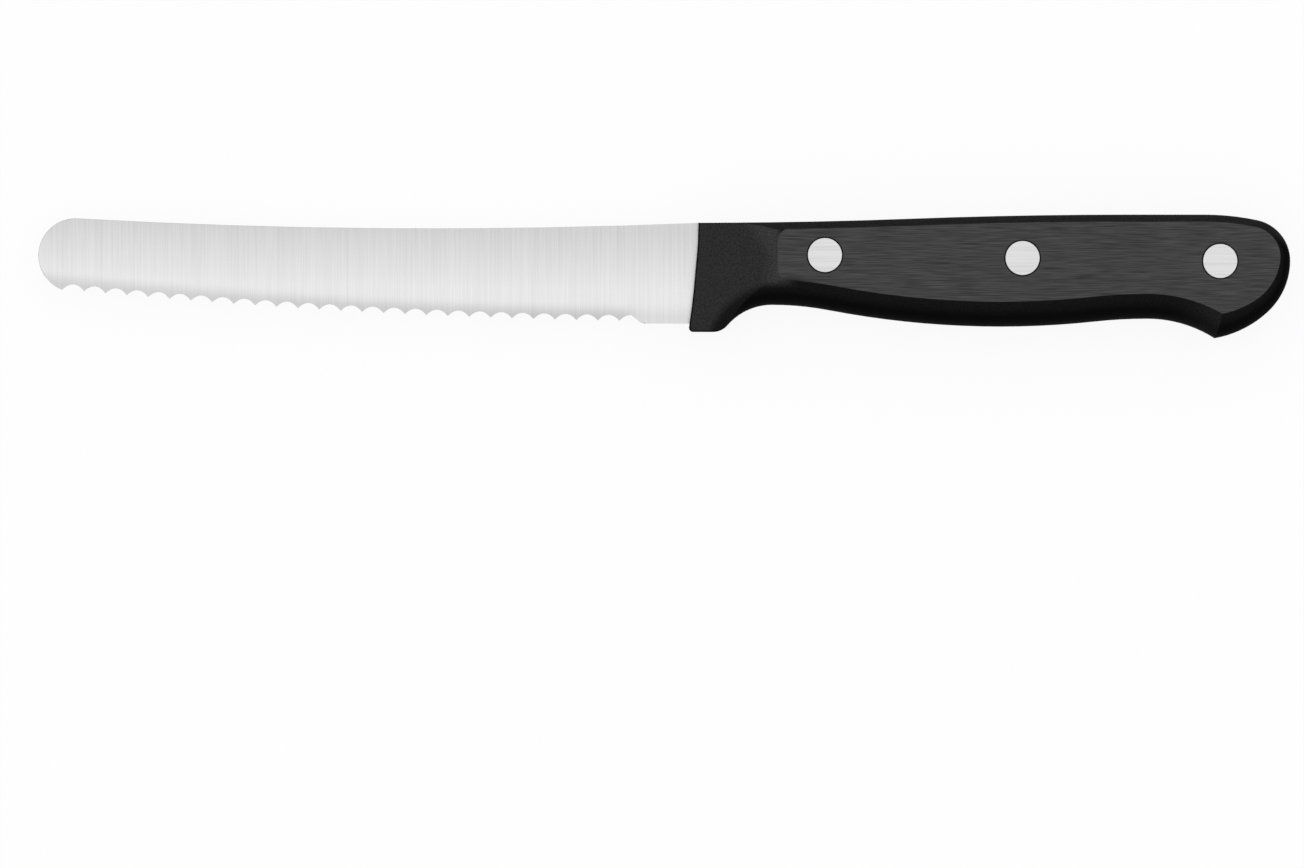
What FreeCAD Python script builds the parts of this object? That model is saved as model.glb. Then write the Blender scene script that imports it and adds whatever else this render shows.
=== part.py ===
import FreeCAD, Part
import math
import os

import Sketcher
from FreeCAD import Placement, Rotation, Vector

# Tomato knife: a serrated blade with a round tip, whose tang is held between
# two moulded scales by three two-part rivets. It lies on its right side: the
# tip points to -X, the spine to +Y, and the left side faces up, to +Z.
#
# Each piece is drawn from one point, where the spine meets the front of the
# handle, on the middle plane of the blade. A drop is measured down from the
# spine there, towards -Y.

LENGTHS = {
    # blade
    "blade_length": 120.0,
    "blade_thickness": 1.5,
    "edge_thickness": 0.55,
    "heel_drop": 18.37,
    "spine_radius": 1132.0,
    "nose_radius": 6.75,
    "nose_drop": 5.92,
    "edge_radius": 1130.0,
    "grind_end": 0.3,
    # serration, ground from the right side
    "scoop_pitch": 3.911,
    "scoop_height": 1.57,
    "scoop_radius": 6.1,
    "scoop_run": 16.0,
    "plain_heel": 12.16,
    # outline of the handle
    "handle_length": 108.1,
    "crown_rise": 1.48,
    "crown_from_butt": 30.0,
    "shoulder_from_butt": 15.6,
    "butt_drop": 6.94,
    "hook_from_butt": 13.75,
    "hook_depth": 3.56,
    "waist_from_butt": 26.0,
    "belly_swell": 1.44,
    "belly_from_front": 55.4,
    "groove_depth": 3.97,
    "groove_from_front": 13.7,
    "groove_round": 10.66,
    "guard_depth": 4.93,
    "guard_lip": 1.51,
    "guard_lead": 1.57,
    "guard_round": 0.8,
    "front_bow_radius": 115.0,
    "heel_round": 3.46,
    # section of the handle
    "half_thickness": 6.4,
    "sanding": 0.3,
    "parting_strip": 0.2,
    "top_round": 2.5,
    "butt_round": 3.27,
    "lower_butt_round": 4.8,
    "heel_rim_round": 2.2,
    "guard_rim_round": 0.4,
    "front_half_thickness": 3.2,
    "taper_length": 18.7,
    "taper_round": 30.0,
    # tang
    "tang_width": 9.0,
    "tang_step": 9.0,
    "root_depth": 3.5,
    "spine_gap": 0.15,
    "tang_gap": 0.05,
    # rivets
    "rivet_from_front": 23.33,
    "rivet_from_butt": 12.8,
    "front_rivet_drop": 5.89,
    "rear_rivet_drop": 6.98,
    "rivet_head_diameter": 6.2,
    "rivet_head_height": 2.2,
    "rivet_tube_diameter": 4.2,
    "rivet_shank_diameter": 3.0,
    "rivet_floor": 1.2,
    "rivet_end_gap": 0.6,
    "rivet_press_gap": 0.01,
    "rivet_seat_gap": 0.05,
    # how far a cut runs past what it cuts
    "overrun": 3.0,
}

ANGLES = {
    "scoop_angle": 16.0,
    "butt_turn_angle": 47.0,
}

# Shares of the runs and drops that the curves of the outline follow
SHARES = {
    "spine_turn_share": 0.5,
    "waist_turn_share": 0.36,
    "belly_turn_share": 0.75,
    "upper_butt_share": 0.9,
    "lower_butt_share": 0.9,
    # and of the way from the front rivet to the rear one
    "front_rivet_share": 0.0,
    "middle_rivet_share": 0.5,
    "rear_rivet_share": 1.0,
}

RIVETS = ("front", "middle", "rear")

# Sizes worked out in the sheet from those above
FORMULAS = {
    "guard_drop": "heel_drop + guard_lip",
    "groove_drop": "guard_drop - guard_depth",
    "belly_drop": "groove_drop + groove_depth",
    "waist_drop": "belly_drop - belly_swell",
    "hook_drop": "waist_drop + hook_depth",
    "crown_from_front": "handle_length - crown_from_butt",
    "shoulder_from_front": "handle_length - shoulder_from_butt",
    "waist_from_front": "handle_length - waist_from_butt",
    "hook_from_front": "handle_length - hook_from_butt",
    "spine_turn": "crown_from_front * spine_turn_share",
    "waist_turn": "waist_from_front - (waist_from_front - belly_from_front) * waist_turn_share",
    "belly_turn": "belly_from_front - (belly_from_front - groove_from_front) * belly_turn_share",
    "upper_butt_radius": "(crown_rise + butt_drop) * upper_butt_share",
    "lower_butt_radius": "(hook_drop - butt_drop) * lower_butt_share",
    "butt_turn_drop": "butt_drop + lower_butt_radius * sin(butt_turn_angle * 1 deg)",
    "stock_height": "half_thickness + sanding",
    "belly_round": "stock_height - parting_strip",
    "overhang": "belly_round + overrun",
    "rear_rivet_from_front": "handle_length - rivet_from_butt",
    "nose_from_front": "blade_length - nose_radius",
    "nose_span": "sqrt(nose_from_front ^ 2 + (heel_drop - nose_drop) ^ 2)",
    "pivot_along": "(nose_span ^ 2 + edge_radius ^ 2 - (edge_radius - nose_radius) ^ 2)"
    " / (2 * nose_span)",
    "pivot_off": "sqrt(edge_radius ^ 2 - pivot_along ^ 2)",
    "pivot_x": "(pivot_off * (heel_drop - nose_drop) - pivot_along * nose_from_front) / nose_span",
    "pivot_y": "(pivot_off * nose_from_front + pivot_along * (heel_drop - nose_drop)) / nose_span"
    " - heel_drop",
    "edge_slant": "atan((heel_drop - nose_drop - nose_radius) / nose_from_front) / 1 deg",
    "scoop_turn": "asin((plain_heel + pivot_x) / edge_radius) / 1 deg",
    "scoop_count": "round((nose_from_front - plain_heel) / scoop_pitch) + 1",
    "scoop_spread": "(scoop_count - 1) * scoop_pitch / edge_radius * 180 / pi",
    "shift_x": "(blade_length - handle_length) / 2",
    "shift_y": "(hook_drop - crown_rise) / 2",
}

doc = FreeCAD.newDocument("tomato_knife")
sheet = doc.addObject("Spreadsheet::Sheet", "sizes")


def fill_sheet():
    """Write every driving size, then every formula, with its alias."""
    rows = {}
    for table in (LENGTHS, ANGLES, SHARES):
        rows.update({name: str(value) for name, value in table.items()})
    rows.update({name: "=" + formula for name, formula in FORMULAS.items()})
    for row, (name, text) in enumerate(rows.items(), start=1):
        sheet.set("A%d" % row, name)
        sheet.setAlias("B%d" % row, name)
        sheet.set("B%d" % row, text)
    doc.recompute()


def size(name):
    """The present value of a cell of the sheet."""
    return float(sheet.get(name))


def tie(thing, path, expression):
    """Bind a property to the sheet, where a word in braces names a cell."""
    thing.setExpression(path, expression.replace("{", "sizes.").replace("}", ""))


def meeting(first, first_radius, second, second_radius, side):
    """The point on the given side where two circles cross."""
    across = second - first
    along = (across.Length ** 2 + first_radius ** 2 - second_radius ** 2) / (2 * across.Length)
    off = side * math.sqrt(first_radius ** 2 - along ** 2)
    unit = across / across.Length
    return first + unit * along + Vector(-unit.y, unit.x, 0) * off


def toward(centre, radius, point):
    """The point of a circle that faces another point."""
    way = point - centre
    return centre + way * (radius / way.Length)


class Outline:
    """A chain of lines and arcs in a sketch, with its sizes tied to the sheet.

    A line or an arc is a triple: its number in the sketch, the end that the
    chain comes in by, and the end that it goes on from. The sketch itself
    numbers an arc's ends 1 and 2, its centre 3, and the origin as -1.
    """

    def __init__(self, sketch):
        self.sketch = sketch
        self.origin = (-1, 1)

    def line(self, start, end, construction=False):
        number = self.sketch.addGeometry(Part.LineSegment(start, end), construction)
        return number, 1, 2

    def arc(self, centre, start, end, clockwise):
        first, last = (end, start) if clockwise else (start, end)
        radius = (start - centre).Length
        angles = [math.atan2(p.y - centre.y, p.x - centre.x) for p in (first, last)]
        circle = Part.Circle(centre, Vector(0, 0, 1), radius)
        number = self.sketch.addGeometry(Part.ArcOfCircle(circle, *angles), False)
        return (number, 2, 1) if clockwise else (number, 1, 2)

    def circle(self, centre, radius):
        number = self.sketch.addGeometry(Part.Circle(centre, Vector(0, 0, 1), radius), False)
        return number, 1, 2

    def add(self, kind, *parts):
        return self.sketch.addConstraint(Sketcher.Constraint(kind, *parts))

    def join(self, first, second):
        self.add("Coincident", first[0], first[2], second[0], second[1])

    def smooth(self, first, second):
        self.add("Tangent", first[0], first[2], second[0], second[1])

    def start(self, piece):
        return piece[0], piece[1]

    def end(self, piece):
        return piece[0], piece[2]

    def centre(self, piece):
        return piece[0], 3

    def level(self, first, second):
        self.add("Horizontal", *first, *second)

    def plumb(self, first, second):
        self.add("Vertical", *first, *second)

    def measure(self, kind, point, expression):
        """Tie a point's distance from the sketch's origin to the sheet."""
        place = self.sketch.getPoint(*point)
        value = place.x if kind == "DistanceX" else place.y
        ends = (*self.origin, *point) if value >= 0 else (*point, *self.origin)
        number = self.add(kind, *ends, abs(value))
        tie(self.sketch, "Constraints[%d]" % number, expression)

    def mark(self, point, across, up):
        """A point that is only for construction."""
        number = self.sketch.addGeometry(Part.Point(point), True)
        self.place((number, 1), across, up)
        return number, 1

    def s_curve(self, start, end, turn, upward):
        """Two arcs, level at both ends, that meet where the curve turns over."""
        run, rise = end.x - start.x, end.y - start.y
        radii = (run ** 2 + rise ** 2) / (2 * abs(rise))
        share = (turn - start.x) / run
        first = start + Vector(0, upward * radii * share, 0)
        second = end - Vector(0, upward * radii * (1 - share), 0)
        middle = toward(first, radii * share, second)
        turning = (upward > 0) == (run < 0)
        return (
            self.arc(first, start, middle, clockwise=turning),
            self.arc(second, middle, end, clockwise=not turning),
        )

    def place(self, point, across=None, up=None):
        if across:
            self.measure("DistanceX", point, across)
        if up:
            self.measure("DistanceY", point, up)

    def radius(self, piece, expression):
        value = self.sketch.Geometry[piece[0]].Radius
        tie(self.sketch, "Constraints[%d]" % self.add("Radius", piece[0], value), expression)

    def polygon(self, corners):
        """A closed run of lines; each corner is (across, up) with its two expressions."""
        points = [Vector(across, up, 0) for (across, up), _ in corners]
        sides = [self.line(p, q) for p, q in zip(points, points[1:] + points[:1])]
        for side, follower in zip(sides, sides[1:] + sides[:1]):
            self.join(side, follower)
        for side, (_, (across, up)) in zip(sides, corners):
            self.place(self.start(side), across, up)
        return sides


def new_body(name):
    """A body in the assembly's place: its origin goes to the spine at the handle's front."""
    body = doc.addObject("PartDesign::Body", name)
    body.Label = name
    tie(body, "Placement.Base.x", "{shift_x}")
    tie(body, "Placement.Base.y", "{shift_y}")
    tie(body, "Placement.Base.z", "{half_thickness}")
    return body


def new_sketch(body, name, role):
    sketch = body.newObject("Sketcher::SketchObject", name)
    planes = [f for f in body.Origin.OriginFeatures if f.Role == role]
    sketch.AttachmentSupport = [(planes[0], "")]
    sketch.MapMode = "FlatFace"
    return sketch


def pad(body, sketch, length):
    feature = body.newObject("PartDesign::Pad", sketch.Name + "_pad")
    feature.Profile = (sketch, [""])
    tie(feature, "Length", length)
    return feature


def pocket(body, sketch, length=None, reverse=False, symmetric=False):
    """Cut the sketch out of the body, through all of it where no length is given."""
    doc.recompute()
    before = body.Shape.Volume
    feature = body.newObject("PartDesign::Pocket", sketch.Name + "_cut")
    feature.Profile = (sketch, [""])
    feature.Reversed = reverse
    feature.SideType = "Symmetric" if symmetric else "One side"
    if length:
        tie(feature, "Length", length)
    else:
        feature.Type = "ThroughAll"
    doc.recompute()
    if body.Shape.Volume >= before:
        raise ValueError(sketch.Name + " cuts nothing")
    return feature


def rivet_point(name):
    """Expressions for how far behind the front and below the spine a rivet sits."""
    share = "{%s_rivet_share}" % name
    back = "{rivet_from_front} + ({rear_rivet_from_front} - {rivet_from_front}) * " + share
    drop = "{front_rivet_drop} + ({rear_rivet_drop} - {front_rivet_drop}) * " + share
    return back, drop


def rivet_vector(name):
    """The same place as a point of a sketch."""
    front = Vector(size("rivet_from_front"), -size("front_rivet_drop"), 0)
    rear = Vector(size("rear_rivet_from_front"), -size("rear_rivet_drop"), 0)
    return front + (rear - front) * size(name + "_rivet_share")


def draw_rivet_circles(sketch, diameter, ease):
    """A circle round each rivet, wider than the rivet by the ease on every side."""
    outline = Outline(sketch)
    for name in RIVETS:
        ring = outline.circle(rivet_vector(name), size(diameter) / 2 + size(ease))
        outline.place(outline.centre(ring), *rivet_point(name))
        outline.radius(ring, "{%s} / 2 + {%s}" % (diameter, ease))


def draw_tang(outline, ease, ease_expression, front, front_expression):
    """The tang from its top front corner round to the bottom of its root.

    The tang is a bar along the line of the rivets, round about the rear one.
    Its root is as deep as the blade's heel. The ease widens all of it.
    """
    front_rivet, rear = (rivet_vector(name) for name in ("front", "rear"))
    along = (rear - front_rivet).normalize()
    up = Vector(-along.y, along.x, 0)
    half = size("tang_width") / 2 + ease
    step = size("tang_step") + ease
    root = Vector(size("root_depth") + ease, -size("heel_drop") - ease, 0)
    top_rear, low_rear = rear + up * half, rear - up * half
    top_front = top_rear + along * ((front - top_rear.x) / along.x)
    low_front = low_rear + along * ((step - low_rear.x) / along.x)

    axis = outline.line(front_rivet, rear, construction=True)
    outline.place(outline.start(axis), "{rivet_from_front}", "{front_rivet_drop}")
    outline.place(outline.end(axis), "{rear_rivet_from_front}", "{rear_rivet_drop}")
    top = outline.line(top_front, top_rear)
    end = outline.arc(rear, top_rear, low_rear, clockwise=True)
    low = outline.line(low_rear, low_front)
    slope = outline.line(low_front, root)
    outline.add("Coincident", *outline.centre(end), *outline.end(axis))
    outline.add("Parallel", top[0], axis[0])
    outline.radius(end, "{tang_width} / 2 + " + ease_expression)
    outline.smooth(top, end)
    outline.smooth(end, low)
    outline.join(low, slope)
    outline.place(outline.start(top), front_expression)
    outline.place(outline.start(slope), "{tang_step} + " + ease_expression)
    outline.place(
        outline.end(slope), "{root_depth} + " + ease_expression, "{heel_drop} + " + ease_expression
    )
    return top, slope, top_front, root


def draw_blank(sketch):
    """The blade and tang, cut from sheet: spine, round nose, edge and tang."""
    outline = Outline(sketch)
    nose = Vector(-size("nose_from_front"), -size("nose_drop"), 0)
    spine_end = Vector(-size("spine_gap"), 0, 0)
    heel = Vector(0, -size("heel_drop"), 0)
    nose_radius, spine_radius = size("nose_radius"), size("spine_radius")
    spine_centre = meeting(spine_end, spine_radius, nose, spine_radius + nose_radius, -1)
    edge_centre = Vector(size("pivot_x"), size("pivot_y"), 0)
    nose_top = toward(nose, nose_radius, spine_centre)
    nose_low = toward(edge_centre, size("edge_radius"), nose)

    top, slope, top_front, root = draw_tang(outline, 0, "0", spine_end.x, "{spine_gap}")
    base = outline.line(root, heel)
    edge = outline.arc(edge_centre, heel, nose_low, clockwise=True)
    tip = outline.arc(nose, nose_low, nose_top, clockwise=True)
    spine = outline.arc(spine_centre, nose_top, spine_end, clockwise=False)
    step = outline.line(spine_end, top_front)
    outline.join(slope, base)
    outline.join(base, edge)
    outline.smooth(edge, tip)
    outline.smooth(tip, spine)
    outline.join(spine, step)
    outline.join(step, top)
    outline.level(outline.start(base), outline.end(base))
    outline.plumb(outline.end(base), outline.origin)
    outline.level(outline.end(spine), outline.origin)
    outline.plumb(outline.start(step), outline.end(step))
    outline.place(outline.centre(tip), "{nose_from_front}", "{nose_drop}")
    outline.radius(edge, "{edge_radius}")
    outline.radius(tip, "{nose_radius}")
    outline.radius(spine, "{spine_radius}")


def draw_grind(sketch):
    """The two wedges that thin the blade from the spine down to the edge."""
    depth = size("heel_drop") + size("overrun")
    spine_half = size("blade_thickness") / 2
    thinning = (size("blade_thickness") - size("edge_thickness")) / 2
    low_half = spine_half - thinning * depth / size("heel_drop")
    far = spine_half + size("overrun")
    reach = "{heel_drop} + {overrun}"
    face = "{blade_thickness} / 2"
    low_face = "%s - ({blade_thickness} - {edge_thickness}) / 2 * (%s) / {heel_drop}" % (face, reach)
    outside = "%s + {overrun}" % face
    for side in (1, -1):
        Outline(sketch).polygon(
            [
                ((0, side * spine_half), ("0", face)),
                ((-depth, side * low_half), (reach, low_face)),
                ((-depth, side * far), (reach, outside)),
                ((0, side * far), ("0", outside)),
            ]
        )


def cut_serration(body):
    """Scoops ground from the right side, one after the other round the edge's centre."""
    pivot = new_sketch(body, "serration_pivot", "XY_Plane")
    pivot.AttachmentOffset = Placement(Vector(), Rotation(Vector(0, 0, 1), size("scoop_turn")))
    tie(pivot, "AttachmentOffset.Base.x", "{pivot_x}")
    tie(pivot, "AttachmentOffset.Base.y", "{pivot_y}")
    tie(pivot, "AttachmentOffset.Rotation.Angle", "-{scoop_turn} * 1 deg")
    arm = Outline(pivot)
    spoke = arm.line(Vector(), Vector(0, -size("edge_radius"), 0), construction=True)
    arm.add("Coincident", *arm.start(spoke), *arm.origin)
    arm.plumb(arm.start(spoke), arm.end(spoke))
    arm.place(arm.end(spoke), None, "{edge_radius}")
    doc.recompute()

    scoop = body.newObject("Sketcher::SketchObject", "scoop")
    scoop.AttachmentSupport = [(pivot, "")]
    scoop.MapMode = "ObjectXY"
    scoop.AttachmentOffset = Placement(Vector(), Rotation(Vector(1, 0, 0), size("scoop_angle")))
    tie(scoop, "AttachmentOffset.Base.y", "{scoop_height} - {edge_radius}")
    tie(scoop, "AttachmentOffset.Base.z", "{edge_thickness} / 2")
    tie(scoop, "AttachmentOffset.Rotation.Angle", "90 deg - {scoop_angle} * 1 deg")
    wheel = Outline(scoop)
    ring = wheel.circle(Vector(0, -size("scoop_radius"), 0), size("scoop_radius"))
    wheel.plumb(wheel.centre(ring), wheel.origin)
    wheel.place(wheel.centre(ring), None, "{scoop_radius}")
    wheel.radius(ring, "{scoop_radius}")
    first = pocket(body, scoop, "{scoop_run}", symmetric=True)

    teeth = body.newObject("PartDesign::PolarPattern", "serration")
    teeth.Originals = [first]
    teeth.Axis = (pivot, ["N_Axis"])
    teeth.Reversed = True
    tie(teeth, "Angle", "{scoop_spread} * 1 deg")
    tie(teeth, "Occurrences", "{scoop_count}")
    body.Tip = teeth
    doc.recompute()


def make_blade():
    body = new_body("blade")
    blank = new_sketch(body, "blank", "XY_Plane")
    draw_blank(blank)
    sheet_metal = pad(body, blank, "{blade_thickness}")
    sheet_metal.SideType = "Symmetric"

    grind = new_sketch(body, "grind", "YZ_Plane")
    grind.AttachmentOffset = Placement(Vector(), Rotation(Vector(0, 1, 0), size("edge_slant")))
    tie(grind, "AttachmentOffset.Base.z", "{grind_end}")
    tie(grind, "AttachmentOffset.Rotation.Angle", "-{edge_slant} * 1 deg")
    draw_grind(grind)
    pocket(body, grind)

    holes = new_sketch(body, "tang_holes", "XY_Plane")
    draw_rivet_circles(holes, "rivet_tube_diameter", "rivet_seat_gap")
    pocket(body, holes, symmetric=True)
    cut_serration(body)
    return body


def draw_back(sketch):
    """An outline with the handle's back and butt, run on past its front and its hook.

    From the front it swells up to the crown, turns down round the butt and
    sweeps past the hook until it runs level. The points that set the rounding
    of the rim come back with the names of their sizes.
    """
    outline = Outline(sketch)
    front = Vector()
    crown = Vector(size("crown_from_front"), size("crown_rise"), 0)
    shoulder = Vector(size("shoulder_from_front"), size("crown_rise"), 0)
    butt = Vector(size("handle_length"), -size("butt_drop"), 0)
    hook = Vector(size("hook_from_front"), -size("hook_drop"), 0)
    far = -size("overhang")

    lead = outline.line(Vector(far, 0, 0), front)
    rise, crest = outline.s_curve(front, crown, size("spine_turn"), 1)
    level = outline.line(crown, shoulder)

    drop = shoulder.y - butt.y
    run = butt.x - shoulder.x
    small = size("upper_butt_radius")
    large = (run ** 2 + drop ** 2 - 2 * run * small) / (2 * (drop - small))
    large_centre = shoulder - Vector(0, large, 0)
    small_centre = butt - Vector(small, 0, 0)
    upper_turn = toward(large_centre, large, small_centre)
    upper = outline.arc(large_centre, shoulder, upper_turn, clockwise=True)
    corner = outline.arc(small_centre, upper_turn, butt, clockwise=True)

    lower = size("lower_butt_radius")
    turn = math.radians(size("butt_turn_angle"))
    lower_centre = butt - Vector(lower, 0, 0)
    lower_turn = lower_centre + Vector(lower * math.cos(turn), -lower * math.sin(turn), 0)
    inward = (lower_centre - lower_turn).normalize()
    chord = hook - lower_turn
    sweep_radius = chord.Length ** 2 / (2 * chord.dot(inward))
    sweep_centre = lower_turn + inward * sweep_radius
    bottom = sweep_centre - Vector(0, sweep_radius, 0)
    heel = outline.arc(lower_centre, butt, lower_turn, clockwise=True)
    sweep = outline.arc(sweep_centre, lower_turn, bottom, clockwise=True)
    low = hook.y + far
    path = [bottom, Vector(bottom.x, low, 0), Vector(far, low, 0), Vector(far, 0, 0)]
    step, foot, end = [outline.line(p, q) for p, q in zip(path, path[1:])]

    chain = [rise, crest, level, upper, corner, heel, sweep]
    for first, second in zip(chain, chain[1:]):
        outline.smooth(first, second)
    around = [sweep, step, foot, end, lead, rise]
    for first, second in zip(around, around[1:]):
        outline.join(first, second)
    outline.add("Coincident", *outline.start(rise), *outline.origin)
    outline.level(outline.start(lead), outline.end(lead))
    outline.place(outline.start(lead), "{overhang}")
    outline.plumb(outline.start(rise), outline.centre(rise))
    outline.place(outline.end(rise), "{spine_turn}")
    outline.place(outline.end(crest), "{crown_from_front}", "{crown_rise}")
    outline.level(outline.start(level), outline.end(level))
    outline.place(outline.end(level), "{shoulder_from_front}")
    outline.radius(corner, "{upper_butt_radius}")
    outline.place(outline.end(corner), "{handle_length}", "{butt_drop}")
    outline.level(outline.end(corner), outline.centre(corner))
    outline.radius(heel, "{lower_butt_radius}")
    outline.place(outline.end(heel), None, "{butt_turn_drop}")
    tip = outline.mark(hook, "{hook_from_front}", "{hook_drop}")
    outline.add("PointOnObject", *tip, sweep[0])
    outline.plumb(outline.end(sweep), outline.centre(sweep))
    outline.plumb(outline.start(step), outline.end(step))
    outline.level(outline.start(foot), outline.end(foot))
    outline.place(outline.start(foot), None, "{hook_drop} + {overhang}")
    outline.plumb(outline.start(end), outline.end(end))
    return [
        (front, "top_round"),
        (shoulder, "top_round"),
        (upper_turn, "top_round"),
        (butt, "butt_round"),
        (lower_turn, "lower_butt_round"),
        (bottom, "belly_round"),
    ]


def draw_belly(sketch):
    """An outline with the handle's underside and front, run on past its back and butt.

    From the hook it goes up into the waist, down over the belly, into the
    finger groove, round the heel of the guard and up the bowed front edge.
    """
    outline = Outline(sketch)
    hook = Vector(size("hook_from_front"), -size("hook_drop"), 0)
    waist = Vector(size("waist_from_front"), -size("waist_drop"), 0)
    belly = Vector(size("belly_from_front"), -size("belly_drop"), 0)
    groove = Vector(size("groove_from_front"), -size("groove_drop"), 0)
    corner = Vector(-size("guard_lead"), -size("guard_drop"), 0)
    right, top = size("handle_length") + size("overhang"), size("crown_rise") + size("overhang")

    chord = waist - hook
    inside_centre = waist - Vector(0, chord.Length ** 2 / (2 * chord.y), 0)
    spoke = hook - inside_centre
    outer_end = hook + Vector(spoke.y, -spoke.x, 0) * ((right - hook.x) / spoke.y)

    groove_round, heel_round = size("groove_round"), size("heel_round")
    groove_centre = groove - Vector(0, groove_round, 0)
    reach, rise = groove_round + heel_round, corner.y + heel_round - groove_centre.y
    heel = groove_centre + Vector(-math.sqrt(reach ** 2 - rise ** 2), rise, 0)
    heel_low, heel_touch = heel - Vector(0, heel_round, 0), toward(heel, heel_round, groove_centre)

    bow, nose_round = size("front_bow_radius"), size("guard_round")
    bow_centre = meeting(Vector(), bow, corner, bow, -1)

    def beside(height, reach):
        """The point at a height that lies the given reach from the bow's centre."""
        return Vector(bow_centre.x + math.sqrt(reach ** 2 - (height - bow_centre.y) ** 2), height, 0)

    nose = beside(corner.y + nose_round, bow + nose_round)
    nose_low, front_low = nose - Vector(0, nose_round, 0), toward(bow_centre, bow, nose)
    front_top = beside(top, bow)

    tail = outline.line(outer_end, hook)
    inside = outline.arc(inside_centre, hook, waist, clockwise=False)
    waist_arc, belly_rear = outline.s_curve(waist, belly, size("waist_turn"), -1)
    belly_front, groove_rear = outline.s_curve(belly, groove, size("belly_turn"), 1)
    groove_front = outline.arc(groove_centre, groove, heel_touch, clockwise=False)
    heel_arc = outline.arc(heel, heel_touch, heel_low, clockwise=True)
    under = outline.line(heel_low, nose_low)
    nose_arc = outline.arc(nose, nose_low, front_low, clockwise=True)
    front = outline.arc(bow_centre, front_low, front_top, clockwise=False)
    roof = outline.line(front_top, Vector(right, top, 0))
    side = outline.line(Vector(right, top, 0), outer_end)

    chain = [tail, inside, waist_arc, belly_rear, belly_front, groove_rear, groove_front]
    chain += [heel_arc, under, nose_arc, front]
    for first, second in zip(chain, chain[1:]):
        outline.smooth(first, second)
    for first, second in ((front, roof), (roof, side), (side, tail)):
        outline.join(first, second)
    outline.place(outline.start(tail), "{handle_length} + {overhang}")
    outline.place(outline.start(inside), "{hook_from_front}", "{hook_drop}")
    outline.place(outline.end(inside), "{waist_from_front}", "{waist_drop}")
    outline.plumb(outline.end(inside), outline.centre(inside))
    outline.place(outline.end(waist_arc), "{waist_turn}")
    outline.place(outline.end(belly_rear), "{belly_from_front}", "{belly_drop}")
    outline.plumb(outline.end(belly_rear), outline.centre(belly_rear))
    outline.place(outline.end(belly_front), "{belly_turn}")
    outline.place(outline.end(groove_rear), "{groove_from_front}", "{groove_drop}")
    outline.plumb(outline.end(groove_rear), outline.centre(groove_rear))
    outline.radius(groove_front, "{groove_round}")
    outline.radius(heel_arc, "{heel_round}")
    outline.level(outline.start(under), outline.end(under))
    tip = outline.mark(corner, "{guard_lead}", "{guard_drop}")
    outline.level(outline.end(under), tip)
    outline.radius(nose_arc, "{guard_round}")
    outline.add("PointOnObject", *tip, front[0])
    outline.add("PointOnObject", *outline.origin, front[0])
    outline.radius(front, "{front_bow_radius}")
    outline.level(outline.start(roof), outline.end(roof))
    outline.place(outline.end(roof), None, "{crown_rise} + {overhang}")
    outline.plumb(outline.start(side), outline.end(side))
    return [
        (hook, "belly_round"),
        (groove, "belly_round"),
        (heel_touch, "heel_rim_round"),
        (heel_low, "guard_rim_round"),
        (front_top, "guard_rim_round"),
    ]


def round_stock(name, draw, outer_ways):
    """A thick sheet of the drawn outline with its rim rounded on one side.

    A side that faces straight an outer way stays sharp. At each end of an
    edge the radius is the one of the nearest station.
    """
    stock = doc.addObject("PartDesign::Body", name + "_stock")
    sketch = new_sketch(stock, name + "_outline", "XY_Plane")
    stations = draw(sketch)
    pad(stock, sketch, "{stock_height}")
    doc.recompute()

    def facing(edge):
        """Which ways the two faces at an edge look, the lower one first."""
        middle = edge.valueAt(sum(edge.ParameterRange) / 2)
        faces = stock.Shape.ancestorsOfType(edge, Part.Face)
        ways = [face.normalAt(*face.Surface.parameter(middle)) for face in faces]
        return sorted(ways, key=lambda way: way.z)

    def is_rim(edge):
        wall, roof = facing(edge)
        outer = any(round(wall.getAngle(way), 6) == 0 for way in outer_ways)
        return round(wall.z, 6) == 0 and round(roof.z, 6) > 0 and not outer

    def radius_at(vertex):
        point = Vector(vertex.X, vertex.Y, 0)
        return size(min(stations, key=lambda station: station[0].distanceToPoint(point))[1])

    moulding = doc.addObject("Part::Fillet", name + "_moulding")
    moulding.Base = stock
    moulding.Edges = [
        (number, radius_at(edge.firstVertex(True)), radius_at(edge.lastVertex(True)))
        for number, edge in enumerate(stock.Shape.Edges, start=1)
        if is_rim(edge)
    ]
    return moulding


def draw_flat(sketch):
    """A field wider than the handle, for sanding its side flat."""
    left, right = -size("overhang"), size("handle_length") + size("overhang")
    low, top = -size("hook_drop") - size("overhang"), size("crown_rise") + size("overhang")
    wide = ("{overhang}", "{handle_length} + {overhang}")
    tall = ("{crown_rise} + {overhang}", "{hook_drop} + {overhang}")
    Outline(sketch).polygon(
        [
            ((left, low), (wide[0], tall[1])),
            ((right, low), (wide[1], tall[1])),
            ((right, top), (wide[1], tall[0])),
            ((left, top), (wide[0], tall[0])),
        ]
    )


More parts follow.
